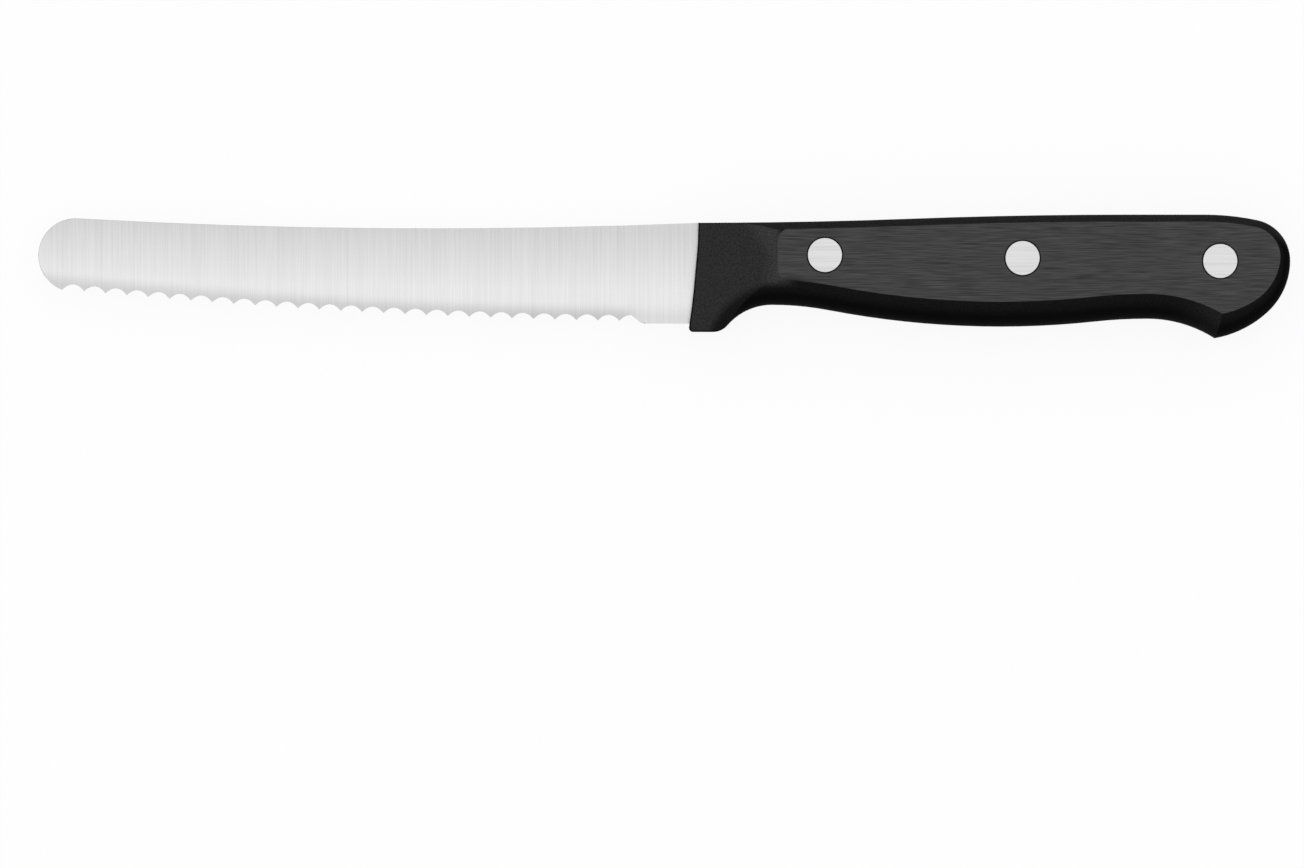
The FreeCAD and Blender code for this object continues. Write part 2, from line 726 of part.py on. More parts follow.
def draw_taper(sketch):
    """What is cut away above the thin front, seen from the spine.

    A straight slope rises from the front and eases into the side by an arc.
    """
    outline = Outline(sketch)
    front = Vector(0, size("front_half_thickness"), 0)
    crest = Vector(size("taper_length"), size("stock_height"), 0)
    radius = size("taper_round")
    far, top = -size("overhang") * 2, crest.y + size("overrun")
    centre = crest - Vector(0, radius, 0)
    way = centre - front
    tilt = math.atan2(way.y, way.x) + math.asin(radius / way.Length)
    run = math.sqrt(way.Length ** 2 - radius ** 2)
    slope = Vector(math.cos(tilt), math.sin(tilt), 0)
    touch = front + slope * run
    low = front + slope * (far / slope.x)

    straight = outline.line(low, touch)
    ease = outline.arc(centre, touch, crest, clockwise=True)
    path = [crest, Vector(crest.x, top, 0), Vector(far, top, 0), low]
    sides = [outline.line(p, q) for p, q in zip(path, path[1:])]
    outline.smooth(straight, ease)
    outline.join(ease, sides[0])
    for first, second in zip(sides, sides[1:] + [straight]):
        outline.join(first, second)
    foot = outline.mark(front, None, "{front_half_thickness}")
    outline.plumb(foot, outline.origin)
    outline.add("PointOnObject", *foot, straight[0])
    outline.radius(ease, "{taper_round}")
    outline.place(outline.end(ease), "{taper_length}", "{stock_height}")
    outline.plumb(outline.end(ease), outline.centre(ease))
    outline.plumb(outline.start(sides[0]), outline.end(sides[0]))
    outline.level(outline.start(sides[1]), outline.end(sides[1]))
    outline.place(outline.end(sides[1]), "{overhang} * 2", "{stock_height} + {overrun}")
    outline.plumb(outline.start(sides[2]), outline.end(sides[2]))


def draw_tang_slot(sketch):
    """The tang's outline with its ease, open at the handle's front."""
    outline = Outline(sketch)
    ease, far = size("tang_gap"), -size("overhang")
    top, slope, top_front, root = draw_tang(outline, ease, "{tang_gap}", far, "{overhang}")
    mouth = Vector(far, root.y, 0)
    base = outline.line(root, mouth)
    front = outline.line(mouth, top_front)
    outline.join(slope, base)
    outline.join(base, front)
    outline.join(front, top)
    outline.level(outline.start(base), outline.end(base))
    outline.plumb(outline.start(front), outline.end(front))


def make_left_scale():
    front, rear, up, down = Vector(-1, 0, 0), Vector(1, 0, 0), Vector(0, 1, 0), Vector(0, -1, 0)
    back = round_stock("back", draw_back, [front, rear, down])
    belly = round_stock("belly", draw_belly, [rear, up])
    moulding = doc.addObject("Part::Common", "scale_moulding")
    moulding.Base = back
    moulding.Tool = belly
    doc.recompute()

    body = new_body("left_scale")
    body.BaseFeature = moulding
    flat = new_sketch(body, "sanded_flat", "XY_Plane")
    tie(flat, "AttachmentOffset.Base.z", "{half_thickness}")
    draw_flat(flat)
    pocket(body, flat, reverse=True)
    taper = new_sketch(body, "front_taper", "XZ_Plane")
    draw_taper(taper)
    pocket(body, taper, symmetric=True)
    slot = new_sketch(body, "tang_slot", "XY_Plane")
    draw_tang_slot(slot)
    pocket(body, slot, "{blade_thickness} / 2 + {tang_gap}", reverse=True)
    bores = new_sketch(body, "rivet_bores", "XY_Plane")
    draw_rivet_circles(bores, "rivet_tube_diameter", "rivet_seat_gap")
    pocket(body, bores, reverse=True)
    seats = new_sketch(body, "rivet_seats", "XY_Plane")
    tie(seats, "AttachmentOffset.Base.z", "{half_thickness}")
    draw_rivet_circles(seats, "rivet_head_diameter", "rivet_seat_gap")
    pocket(body, seats, "{rivet_head_height}")
    return body


def make_right_scale(left):
    """The other scale, a mirror image on the middle plane of the blade."""
    scale = doc.addObject("Part::Mirroring", "right_scale")
    scale.Label = "right_scale"
    scale.Source = left
    scale.Normal = Vector(0, 0, 1)
    tie(scale, "Base.z", "{half_thickness}")
    return scale


def turn_body(rivet, half, profile):
    """A turned piece on a rivet's axis, from a half section given in expressions."""
    name = "%s_rivet_%s" % (rivet, half)
    body = doc.addObject("PartDesign::Body", name)
    body.Label = name
    back, drop = rivet_point(rivet)
    tie(body, "Placement.Base.x", "%s + {shift_x}" % back)
    tie(body, "Placement.Base.y", "{shift_y} - (%s)" % drop)
    tie(body, "Placement.Base.z", "{half_thickness}")
    section = new_sketch(body, name + "_section", "XZ_Plane")
    Outline(section).polygon(profile)
    turning = body.newObject("PartDesign::Revolution", name + "_turning")
    turning.Profile = (section, [""])
    turning.ReferenceAxis = (section, ["V_Axis"])
    return body


def make_rivet(rivet):
    """The two halves of a rivet: a post from the left and a socket from the right."""
    face = size("half_thickness")
    seat = face - size("rivet_head_height")
    head = size("rivet_head_diameter") / 2
    shank = size("rivet_shank_diameter") / 2
    bore = shank + size("rivet_press_gap")
    tube = size("rivet_tube_diameter") / 2
    floor = face - size("rivet_floor")
    post_end = floor - size("rivet_end_gap")
    tube_end = seat - size("rivet_end_gap")

    flush = "{half_thickness}"
    under = "{half_thickness} - {rivet_head_height}"
    head_radius = "{rivet_head_diameter} / 2"
    shank_radius = "{rivet_shank_diameter} / 2"
    bore_radius = shank_radius + " + {rivet_press_gap}"
    tube_radius = "{rivet_tube_diameter} / 2"
    bottom = "{half_thickness} - {rivet_floor}"
    post_tip = bottom + " - {rivet_end_gap}"
    tube_tip = under + " - {rivet_end_gap}"
    post = turn_body(
        rivet,
        "post",
        [
            ((0, face), ("0", flush)),
            ((head, face), (head_radius, flush)),
            ((head, seat), (head_radius, under)),
            ((shank, seat), (shank_radius, under)),
            ((shank, -post_end), (shank_radius, post_tip)),
            ((0, -post_end), ("0", post_tip)),
        ],
    )
    socket = turn_body(
        rivet,
        "socket",
        [
            ((0, -face), ("0", flush)),
            ((head, -face), (head_radius, flush)),
            ((head, -seat), (head_radius, under)),
            ((tube, -seat), (tube_radius, under)),
            ((tube, tube_end), (tube_radius, tube_tip)),
            ((bore, tube_end), (bore_radius, tube_tip)),
            ((bore, -floor), (bore_radius, bottom)),
            ((0, -floor), ("0", bottom)),
        ],
    )
    return [post, socket]


def write_parts(parts):
    """Check every object of the document, then write each piece to its own file."""
    failed = [o.Name for o in doc.Objects if {"Invalid", "Error"} & set(o.State)]
    failed += [p.Label for p in parts if p.Shape.isNull() or not p.Shape.isValid()]
    if failed:
        raise ValueError("not built: " + ", ".join(failed))
    os.makedirs("parts", exist_ok=True)
    for part in parts:
        part.Shape.exportStep(os.path.join("parts", part.Label + ".step"))
        box = part.Shape.optimalBoundingBox()
        print("%-22s %9.2f mm3  %s" % (part.Label, part.Shape.Volume, box))


fill_sheet()
blade = make_blade()
left_scale = make_left_scale()
right_scale = make_right_scale(left_scale)
parts = [blade, left_scale, right_scale]
for rivet in RIVETS:
    parts += make_rivet(rivet)
doc.recompute()
write_parts(parts)
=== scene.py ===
# %% [markdown]
# # A tomato knife, from solids to picture
#
# The solids of this knife come from a CAD program: one blade with its tang, two
# handle scales and three rivets in two halves. This lesson gives each of them
# the finish of the real piece, and sets up a small photo studio and a camera.
# Everything lies in the frame of the solids, in metres: the tip points to -X,
# the spine to +Y, and the side that is seen faces +Z.

# %% Load the solids
import math

import bmesh
import bpy
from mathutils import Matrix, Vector


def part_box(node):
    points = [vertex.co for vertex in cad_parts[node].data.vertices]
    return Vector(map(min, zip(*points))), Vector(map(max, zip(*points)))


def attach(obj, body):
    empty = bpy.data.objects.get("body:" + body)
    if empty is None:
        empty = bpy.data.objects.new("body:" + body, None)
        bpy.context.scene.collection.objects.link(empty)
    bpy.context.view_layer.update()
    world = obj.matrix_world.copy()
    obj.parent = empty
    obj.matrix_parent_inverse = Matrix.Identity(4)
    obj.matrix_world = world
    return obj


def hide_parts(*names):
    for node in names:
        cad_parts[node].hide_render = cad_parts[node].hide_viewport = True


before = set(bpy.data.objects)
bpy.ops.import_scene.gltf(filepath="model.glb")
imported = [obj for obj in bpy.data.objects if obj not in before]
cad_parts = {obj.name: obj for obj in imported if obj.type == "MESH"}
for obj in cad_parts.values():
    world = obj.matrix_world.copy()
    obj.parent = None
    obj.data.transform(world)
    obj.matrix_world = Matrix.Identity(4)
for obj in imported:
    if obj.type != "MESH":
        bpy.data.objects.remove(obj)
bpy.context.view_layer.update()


# %% [markdown]
# ## The camera
#
# A catalogue picture of a knife is taken from straight above with a long lens,
# so that both ends look the same size. We could use an orthographic camera, but
# a real lens keeps a little depth, and the views from other sides look natural.
# The width of the picture is given at the height of the blade, and the distance
# follows from the lens and the sensor, which Blender counts in millimetres.

# %% Place the camera
MM = 0.001
LENS = 900
SENSOR = 36
MIDDLE = sum(corner[2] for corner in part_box("blade")) / 2
PICTURE_WIDTH = 237.67 * MM
PICTURE_CENTRE = Vector((-2.21 * MM, -28.7 * MM, MIDDLE))
SIGHT_FACTOR = 20

camera_data = bpy.data.cameras.new("picture_camera")
camera_data.lens = LENS
camera_data.sensor_width = SENSOR
camera_data.sensor_fit = "HORIZONTAL"
distance = PICTURE_WIDTH * LENS / SENSOR
camera_data.clip_end = distance * SIGHT_FACTOR
camera = bpy.data.objects.new("picture_camera", camera_data)
camera.location = PICTURE_CENTRE + Vector((0, 0, distance))
bpy.context.scene.collection.objects.link(camera)
bpy.context.scene.camera = camera
bpy.context.scene.view_settings.view_transform = "Standard"
print("camera %.2f m above the blade, which lies %.2f mm high" % (distance, MIDDLE / MM))

# %% [markdown]
# ## The table
#
# The knife lies on a white table. It has to be white in the picture without
# more light on the knife. So rays that come from the camera, or from a
# mirror-like face, see a large share of plain white on it, and the rest is a
# matt surface that keeps the knife's soft shadow.

# %% Paint the table
WHITE = (1, 1, 1, 1)
MATT_WHITE = (0.95, 0.95, 0.95, 1)
WHITE_SHARE = 0.9


def shader(tree, kind, **inputs):
    """A node with the given sockets set."""
    node = tree.nodes.new(kind)
    for name, value in inputs.items():
        node.inputs[name.replace("_", " ")].default_value = value
    return node


def arithmetic(tree, operation, first, second=0.0):
    """A sum, product or the like, where each value is a socket or a number."""
    node = tree.nodes.new("ShaderNodeMath")
    node.operation = operation
    for socket, value in zip(node.inputs, (first, second)):
        if isinstance(value, (int, float)):
            socket.default_value = value
        else:
            tree.links.new(value, socket)
    return node.outputs[0]


table_paint = bpy.data.materials.new("white_table")
table_paint.use_nodes = True
tree = table_paint.node_tree
tree.nodes.clear()
rays = tree.nodes.new("ShaderNodeLightPath").outputs
seen = arithmetic(tree, "MAXIMUM", rays["Is Camera Ray"], rays["Is Glossy Ray"])
seen = arithmetic(tree, "MAXIMUM", seen, rays["Is Transmission Ray"])
matt = shader(tree, "ShaderNodeBsdfDiffuse", Color=MATT_WHITE)
white = shader(tree, "ShaderNodeEmission", Color=WHITE, Strength=1.0)
blend = tree.nodes.new("ShaderNodeMixShader")
out = tree.nodes.new("ShaderNodeOutputMaterial")
tree.links.new(arithmetic(tree, "MULTIPLY", seen, WHITE_SHARE), blend.inputs[0])
tree.links.new(matt.outputs[0], blend.inputs[1])
tree.links.new(white.outputs[0], blend.inputs[2])
tree.links.new(blend.outputs[0], out.inputs["Surface"])
print("table paint:", len(tree.nodes), "nodes")

# %% [markdown]
# The table itself is one large square. It lies a hair below the knife, because
# two faces in one place would flicker.

# %% Lay the table
TABLE_SIZE = 30
TABLE_DROP = 0.05 * MM

shape = bmesh.new()
bmesh.ops.create_grid(shape, x_segments=1, y_segments=1, size=TABLE_SIZE)
bmesh.ops.translate(shape, verts=shape.verts, vec=(0, 0, -TABLE_DROP))
table_mesh = bpy.data.meshes.new("table")
shape.to_mesh(table_mesh)
shape.free()
table = bpy.data.objects.new("table", table_mesh)
table_mesh.materials.append(table_paint)
bpy.context.scene.collection.objects.link(table)
print("table of %g m a side" % table.dimensions.x)

# %% [markdown]
# ## The light
#
# One wide, soft light hangs over the table, a little to the side of the spine.
# A lamp with an edge would draw its outline on the steel, so the light is a sky
# that fades evenly from the brightest point to the horizon. Level faces shine,
# the back of the handle gets a glint, and its belly turns dark; the black
# plastic adds painted light on the back and painted shade on its rims.

# %% Light the sky
SKY_LEAN = Vector((0, 0.3, 1)).normalized()
SKY_DIM = 0.35
SKY_BRIGHT = 1.25


def remap(tree, value, start, end, low, high, smooth=False):
    """A value carried from one range to another, whose ends it doesn't pass."""
    node = tree.nodes.new("ShaderNodeMapRange")
    if smooth:
        node.interpolation_type = "SMOOTHSTEP"
    numbers = {"From Min": start, "From Max": end, "To Min": low, "To Max": high}
    for name, number in numbers.items():
        node.inputs[name].default_value = number
    tree.links.new(value, node.inputs["Value"])
    return node.outputs[0]


def soft_step(tree, value, start, end, low=0.0, high=1.0):
    """The same, but easing in and out at both ends."""
    return remap(tree, value, start, end, low, high, smooth=True)


world = bpy.data.worlds.new("soft_sky")
bpy.context.scene.world = world
world.use_nodes = True
tree = world.node_tree
tree.nodes.clear()
direction = tree.nodes.new("ShaderNodeTexCoord")
lean = tree.nodes.new("ShaderNodeVectorMath")
lean.operation = "DOT_PRODUCT"
lean.inputs[1].default_value = SKY_LEAN
sky = shader(tree, "ShaderNodeBackground", Color=WHITE)
out = tree.nodes.new("ShaderNodeOutputWorld")
tree.links.new(direction.outputs["Generated"], lean.inputs[0])
glow = soft_step(tree, lean.outputs["Value"], 0.0, 1.0, SKY_DIM, SKY_BRIGHT)
tree.links.new(glow, sky.inputs["Strength"])
tree.links.new(sky.outputs[0], out.inputs["Surface"])
print("sky from %g at its dim side to %g overhead" % (SKY_DIM, SKY_BRIGHT))

# %% [markdown]
# ## A copy to work on
#
# The mesh of a solid is made of loose triangles, which know at each corner how
# the true curved surface faces. We leave that mesh as it is and work on a copy:
# its corners are merged and its flat triangles joined into whole faces. The
# directions are noted on the copy before that, and given back to the finished
# piece, so that its round faces shade as smoothly as the solid's.

# %% Make copies of the solids
MERGE_REACH = 0.01 * MM
FLAT_ANGLE = math.radians(0.02)


def merged_copy(node):
    """A bmesh of a solid, merged, that still knows how the true surface faces."""
    mesh = bpy.data.objects[node].data
    shape = bmesh.new()
    shape.from_mesh(mesh)
    facing = shape.loops.layers.float_vector.new("facing")
    true_ways = iter(mesh.corner_normals)
    for face in shape.faces:
        for corner in face.loops:
            corner[facing] = next(true_ways).vector
    bmesh.ops.remove_doubles(shape, verts=shape.verts, dist=MERGE_REACH)
    bmesh.ops.dissolve_limit(shape, angle_limit=FLAT_ANGLE, verts=shape.verts, edges=shape.edges)
    return shape


def finish_piece(name, shape, node, material):
    """Turn a bmesh into a piece of the knife that stands in for its solid."""
    mesh = bpy.data.meshes.new(name)
    shape.to_mesh(mesh)
    shape.free()
    mesh.shade_smooth()
    true_ways = [corner.vector.copy() for corner in mesh.attributes["facing"].data]
    mesh.attributes.remove(mesh.attributes["facing"])
    mesh.normals_split_custom_set(true_ways)
    mesh.materials.append(material)
    piece = bpy.data.objects.new(name, mesh)
    bpy.context.scene.collection.objects.link(piece)
    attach(piece, "root")
    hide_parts(node)
    print(name, len(mesh.polygons), "faces")
    return piece


# %% [markdown]
# ## Broken edges
#
# A maker breaks every sharp edge that a hand can touch. A bevel modifier could
# do it for a whole piece, but it would also blunt the teeth, so we choose the
# edges ourselves. The narrow new faces take their shading from the faces beside
# them, and catch a fine line of light. The bevel stops where its faces would
# meet. Where very short edges would stop it too early, it may run on.

# %% Make a tool for broken edges
def sharp_edges(shape, least_angle):
    """The edges where two faces meet at no less than an angle in degrees."""
    return [e for e in shape.edges if e.calc_face_angle(0) >= math.radians(least_angle)]


def break_edges(shape, edges, width, steps=2, clamp=True):
    """Round some edges a little and let the shading run over the new faces."""
    facing = shape.loops.layers.float_vector["facing"]
    made = bmesh.ops.bevel(
        shape, geom=edges, offset=width, offset_type="OFFSET", affect="EDGES",
        segments=steps, profile=0.5, clamp_overlap=clamp, material=-1,
    )
    shape.normal_update()
    eased = set(made["faces"])
    for face in eased:
        for corner in face.loops:
            beside = [c[facing] for c in corner.vert.link_loops if c.face not in eased]
            corner[facing] = sum(beside, Vector()).normalized() if beside else corner.vert.normal
    print("broke", len(edges), "edges by %g mm" % (width / MM))


# %% [markdown]
# ## Steel
#
# The blade is ground across its width, so fine lines run from the spine to the
# edge. The rivet heads are ground together with the handle, along its length. A
# picture of brushed steel would have to be stretched over each piece; a noise
# that is stretched into long streaks needs no picture. It changes the colour,
# the roughness and the height of the surface by a little. All tones are greys
# between nought and one, and a range of them is given as a pair.

# %% Make tools for finishes
def new_material(name):
    """An empty material with its Principled shader and its Object coordinates."""
    material = bpy.data.materials.new(name)
    material.use_nodes = True
    tree = material.node_tree
    where = tree.nodes.new("ShaderNodeTexCoord")
    return material, tree, tree.nodes["Principled BSDF"], where.outputs["Object"]


def axes(tree, where):
    """The three coordinates of a place, one by one."""
    split = tree.nodes.new("ShaderNodeSeparateXYZ")
    tree.links.new(where, split.inputs[0])
    return split.outputs


def noise(tree, where, scales, detail):
    """A noise stretched by three scales, in cycles per metre."""
    stretch = shader(tree, "ShaderNodeMapping", Scale=scales)
    cloud = shader(tree, "ShaderNodeTexNoise", Scale=1.0, Detail=detail)
    tree.links.new(where, stretch.inputs["Vector"])
    tree.links.new(stretch.outputs["Vector"], cloud.inputs["Vector"])
    return cloud.outputs[0]


def spread(tree, pattern, low, high, reach=0.2):
    """A noise, which keeps within a reach of one half, carried to a range."""
    return remap(tree, pattern, 0.5 - reach, 0.5 + reach, low, high)


def paint(tree, surface, tone, roughness):
    """A neutral colour and a roughness from two sockets."""
    colour = tree.nodes.new("ShaderNodeCombineColor")
    for socket in colour.inputs:
        tree.links.new(tone, socket)
    tree.links.new(colour.outputs[0], surface.inputs["Base Color"])
    tree.links.new(roughness, surface.inputs["Roughness"])


def raise_lines(tree, surface, pattern, strength, distance):
    """Let a pattern stand up from the surface."""
    bump = shader(tree, "ShaderNodeBump", Strength=strength, Distance=distance)
    tree.links.new(pattern, bump.inputs["Height"])
    tree.links.new(bump.outputs[0], surface.inputs["Normal"])


# %% Grind the blade
EDGE_PIVOT = Vector((5.72, 1121.41, 0)) * MM
EDGE_RADIUS = 1130 * MM
BLADE_LINES = (5500, 60, 60)
BLADE_STREAKS = (1500, 60, 60)
SPINE_TO_EDGE = (24.4 * MM, 3.4 * MM)
BLADE_TONES = (0.532, 0.664)
LINE_TONES = (-0.032, 0.032)
STREAK_TONES = (-0.005, 0.005)


def reach_from(tree, where, pivot):
    """How far a place lies from a pivot, seen from above."""
    plan = shader(tree, "ShaderNodeMapping", Scale=(1, 1, 0))
    node = tree.nodes.new("ShaderNodeVectorMath")
    node.operation = "DISTANCE"
    node.inputs[1].default_value = pivot
    tree.links.new(where, plan.inputs["Vector"])
    tree.links.new(plan.outputs["Vector"], node.inputs[0])
    return node.outputs["Value"]


blade_steel, tree, surface, where = new_material("ground_blade_steel")
surface.inputs["Metallic"].default_value = 1.0
x, y, _ = axes(tree, where)
above_edge = arithmetic(tree, "SUBTRACT", EDGE_RADIUS, reach_from(tree, where, EDGE_PIVOT))
lines = noise(tree, where, BLADE_LINES, detail=1.0)
streaks = noise(tree, where, BLADE_STREAKS, detail=2.0)
# Painted light and shade: the blade is painted darker at the spine and lighter towards the edge.
tone = remap(tree, arithmetic(tree, "ADD", above_edge, y), *SPINE_TO_EDGE, *BLADE_TONES)
tone = arithmetic(tree, "ADD", tone, spread(tree, lines, *LINE_TONES))
tone = arithmetic(tree, "ADD", tone, spread(tree, streaks, *STREAK_TONES))
print("ground steel:", len(tree.nodes), "nodes")

# %% [markdown]
# A strip along the teeth is painted darker, as painted shade, a little more so
# towards the heel, and less where the heel has no teeth. It could be a second
# material on faces of its own, but the shade has no border. So the height
# above the bowed edge decides how much of the tone is kept.

# %% Paint shade along the teeth
EDGE_SHADE_STRIP = (0.9 * MM, 3.9 * MM)
EDGE_SHADE_LOSS = (0.23, 0.0)
TIP_TO_HEEL = (-90 * MM, -10 * MM)
EDGE_SHADE_SHARES = (0.95, 1.25)
END_OF_TEETH = (-4 * MM, -8 * MM)
TOOTHED_SHARES = (0.4, 1.0)
BLADE_ROUGHNESS = (0.24, 0.3)
BLADE_BUMP = 0.08
GRINDING_DEPTH = 0.02 * MM

# Painted shade: a darker strip along the teeth, fading out above the edge.
edge_shade = soft_step(tree, above_edge, *EDGE_SHADE_STRIP, *EDGE_SHADE_LOSS)
edge_shade = arithmetic(tree, "MULTIPLY", edge_shade, remap(tree, x, *TIP_TO_HEEL, *EDGE_SHADE_SHARES))
toothed = soft_step(tree, x, *END_OF_TEETH, *TOOTHED_SHARES)
kept = arithmetic(tree, "SUBTRACT", 1.0, arithmetic(tree, "MULTIPLY", edge_shade, toothed))
tone = arithmetic(tree, "MULTIPLY", tone, kept)
paint(tree, surface, tone, spread(tree, lines, *BLADE_ROUGHNESS))
raise_lines(tree, surface, lines, BLADE_BUMP, GRINDING_DEPTH)
print("blade steel:", len(tree.nodes), "nodes")

# %% Grind the rivets
RIVET_LINES = (60, 3000, 3000)
RIVET_TONES = (0.54, 0.68)
RIVET_ROUGHNESS = (0.3, 0.45)
RIVET_BUMP = 0.15

rivet_steel, tree, surface, where = new_material("ground_rivet_steel")
surface.inputs["Metallic"].default_value = 1.0
lines = noise(tree, where, RIVET_LINES, detail=4.0)
tone = spread(tree, lines, *RIVET_TONES)
paint(tree, surface, tone, spread(tree, lines, *RIVET_ROUGHNESS))
raise_lines(tree, surface, lines, RIVET_BUMP, GRINDING_DEPTH)
print("rivet steel:", len(tree.nodes), "nodes")

# %% [markdown]
# ## Black plastic
#
# The scales come out of the mould with a fine grain. Their tone carries painted
# light and shade by how the surface faces: the rounded rims are painted a deep
# black as shade, and the back, where the spine is, and the inner side of the
# hook are painted a little lighter, as painted light. Several materials would
# end in hard lines, so one material tells the finishes and this painted light
# and shade apart. It reads how the surface faces, which is written on each
# corner of the mesh when the scales are made: how level it lies, and how much
# it faces the back or the front of the knife.

# %% Paint shade on the rims and light on the back
RIM_LEVELS = (0.62, 0.95)
RIM_SHADE_TONES = (0.002, 0.008)
BACK_LEVELS = (0.1, 0.6)
BACK_LIGHT_TONES = (0.0, 0.0145)
HOOK_RUN = (91 * MM, 103 * MM)
HOOK_LEVELS = (0.02, 0.2)
HOOK_LIGHT_TONES = (0.0, 0.007)


def on_corners(tree, name):
    """A value that is written on the corners of the mesh."""
    node = tree.nodes.new("ShaderNodeAttribute")
    node.attribute_name = name
    return node.outputs["Fac"]


black_plastic, tree, surface, where = new_material("black_plastic")
x, y, z = axes(tree, where)
level = on_corners(tree, "level")
# Painted shade: rims that turn away from the light are painted darker than level faces.
painted_shading = soft_step(tree, level, *RIM_LEVELS, *RIM_SHADE_TONES)
# Painted light: surfaces that face the back, towards the spine, are painted lighter.
back = soft_step(tree, on_corners(tree, "back"), *BACK_LEVELS, *BACK_LIGHT_TONES)
painted_shading = arithmetic(tree, "MAXIMUM", painted_shading, back)
# Painted light: the inner side of the hook, facing the tip, is painted lighter.
inside = soft_step(tree, on_corners(tree, "forward"), *HOOK_LEVELS, *HOOK_LIGHT_TONES)
hook_light = arithmetic(tree, "MULTIPLY", soft_step(tree, x, *HOOK_RUN), inside)
painted_shading = arithmetic(tree, "ADD", painted_shading, hook_light)
print("shaded rims:", len(tree.nodes), "nodes")

# %% [markdown]
# The face that thins towards the blade keeps the skin of the mould. Where it
# faces up, it is painted greyer than the rims, as painted light. Just before the
# flat it is painted lighter still, in a strip that leans over near the back.
# This painted light ends at the flat, and it fades to painted shade towards the
# finger groove. The grain of the mould varies the tone of the whole skin.

# %% Paint light on the moulded skin
FLAT_FRONT = 20.66 * MM
GROOVE_CENTRE = Vector((21, -15, 0)) * MM
GROOVE_SHADE_FADE = (12.5 * MM, 14.7 * MM)
FRONT_FADE = (FLAT_FRONT + 1 * MM, FLAT_FRONT - 0.4 * MM)
LOW_FRONT_FADE = (FLAT_FRONT + 4 * MM, FLAT_FRONT - 0.4 * MM)
LOW_FADE = (4 * MM, 2 * MM)
FACE_LEVELS = (0.82, 0.9)
LEAN_START = 4 * MM
LEAN = 0.6
FACE_LIGHT_RUN = (FLAT_FRONT - 3.4 * MM, FLAT_FRONT)
FACE_LIGHT_TONES = (0.0185, 0.031)
GRAIN = (4000, 4000, 4000)
GRAIN_SHARES = (0.6, 1.4)

from_groove_centre = reach_from(tree, where, GROOVE_CENTRE)
low_front = soft_step(tree, x, *LOW_FRONT_FADE)
low_front = arithmetic(tree, "MULTIPLY", low_front, soft_step(tree, y, *LOW_FADE))
before_flat = arithmetic(tree, "MAXIMUM", soft_step(tree, x, *FRONT_FADE), low_front)
# Painted shade: the painted light on the face fades out towards the finger groove.
painted_light_region = arithmetic(tree, "MULTIPLY", soft_step(tree, from_groove_centre, *GROOVE_SHADE_FADE), before_flat)
face = arithmetic(tree, "MULTIPLY", soft_step(tree, level, *FACE_LEVELS), painted_light_region)
upper = arithmetic(tree, "MAXIMUM", arithmetic(tree, "SUBTRACT", y, LEAN_START), 0.0)
leaning = arithmetic(tree, "ADD", x, arithmetic(tree, "MULTIPLY", upper, LEAN))
# Painted light: the upward face is painted lighter towards the flat, in a strip that leans near
# the back.
skin_light = soft_step(tree, leaning, *FACE_LIGHT_RUN, *FACE_LIGHT_TONES)
# The moulded tone is the plastic's black with painted light and shade, varied by the mould's
# grain.
moulded = arithmetic(tree, "ADD", painted_shading, arithmetic(tree, "MULTIPLY", face, skin_light))
grain = noise(tree, where, GRAIN, detail=2.0)
moulded = arithmetic(tree, "MULTIPLY", moulded, spread(tree, grain, *GRAIN_SHARES))
print("moulded skin:", len(tree.nodes), "nodes")

# %% [markdown]
# The sides of the handle are sanded level with the rivets, along the handle.
# The belt opens the surface, so the flats look grey and lined beside the rest.
# It touches all that lies a hair's breadth below the flat, and it comes on to
# the handle in a soft line with round corners, clear of the finger groove.

# %% Find what the belt reached
BELT_REACH = 0.02 * MM
FLAT_MIDDLE = 3.9 * MM
FLAT_HALF_WIDTH = 4.9 * MM
WIDEST_SHARE = 1.1
CORNER_POWER = 6.0
CORNER_BEND = 1.8 * MM
BELT_LINE = (FLAT_FRONT - 0.15 * MM, FLAT_FRONT + 0.15 * MM)
CORNER_FADE = (14.0 * MM, 15.8 * MM)

off_middle = arithmetic(tree, "ABSOLUTE", arithmetic(tree, "SUBTRACT", z, MIDDLE))
touched = soft_step(tree, off_middle, MIDDLE - BELT_REACH, MIDDLE)
aside = arithmetic(tree, "ABSOLUTE", arithmetic(tree, "SUBTRACT", y, FLAT_MIDDLE))
aside = arithmetic(tree, "DIVIDE", aside, FLAT_HALF_WIDTH)
aside = arithmetic(tree, "MINIMUM", aside, WIDEST_SHARE)
bend = arithmetic(tree, "POWER", aside, CORNER_POWER)
bend = arithmetic(tree, "MULTIPLY", bend, CORNER_BEND)
begun = soft_step(tree, arithmetic(tree, "SUBTRACT", x, bend), *BELT_LINE)
begun = arithmetic(tree, "MULTIPLY", begun, soft_step(tree, from_groove_centre, *CORNER_FADE))
sanded = arithmetic(tree, "MULTIPLY", touched, begun)
print("belt:", len(tree.nodes), "nodes")

# %% Sand the flats
SANDING_LINES = (190, 7200, 7200)
SANDED_TONES = (0.032, 0.082)
SCRATCHES = (90, 2600, 2600)
SCRATCH_TONES = (-0.001, 0.001)
SCRATCH_SPREAD = 0.15
SKIN_ROUGHNESS = (0.6, 0.72)
SANDED_ROUGHNESS = (0.55, 0.7)
PLASTIC_SHINE = 0.012
PLASTIC_BUMP = 0.25
GRAIN_DEPTH = 0.03 * MM


def mix(tree, share, first, second):
    """The first value where the share is nought, the second where it is one."""
    node = tree.nodes.new("ShaderNodeMix")
    for socket, value in zip(node.inputs, (share, None, first, second)):
        if value is not None:
            tree.links.new(value, socket)
    return node.outputs[0]


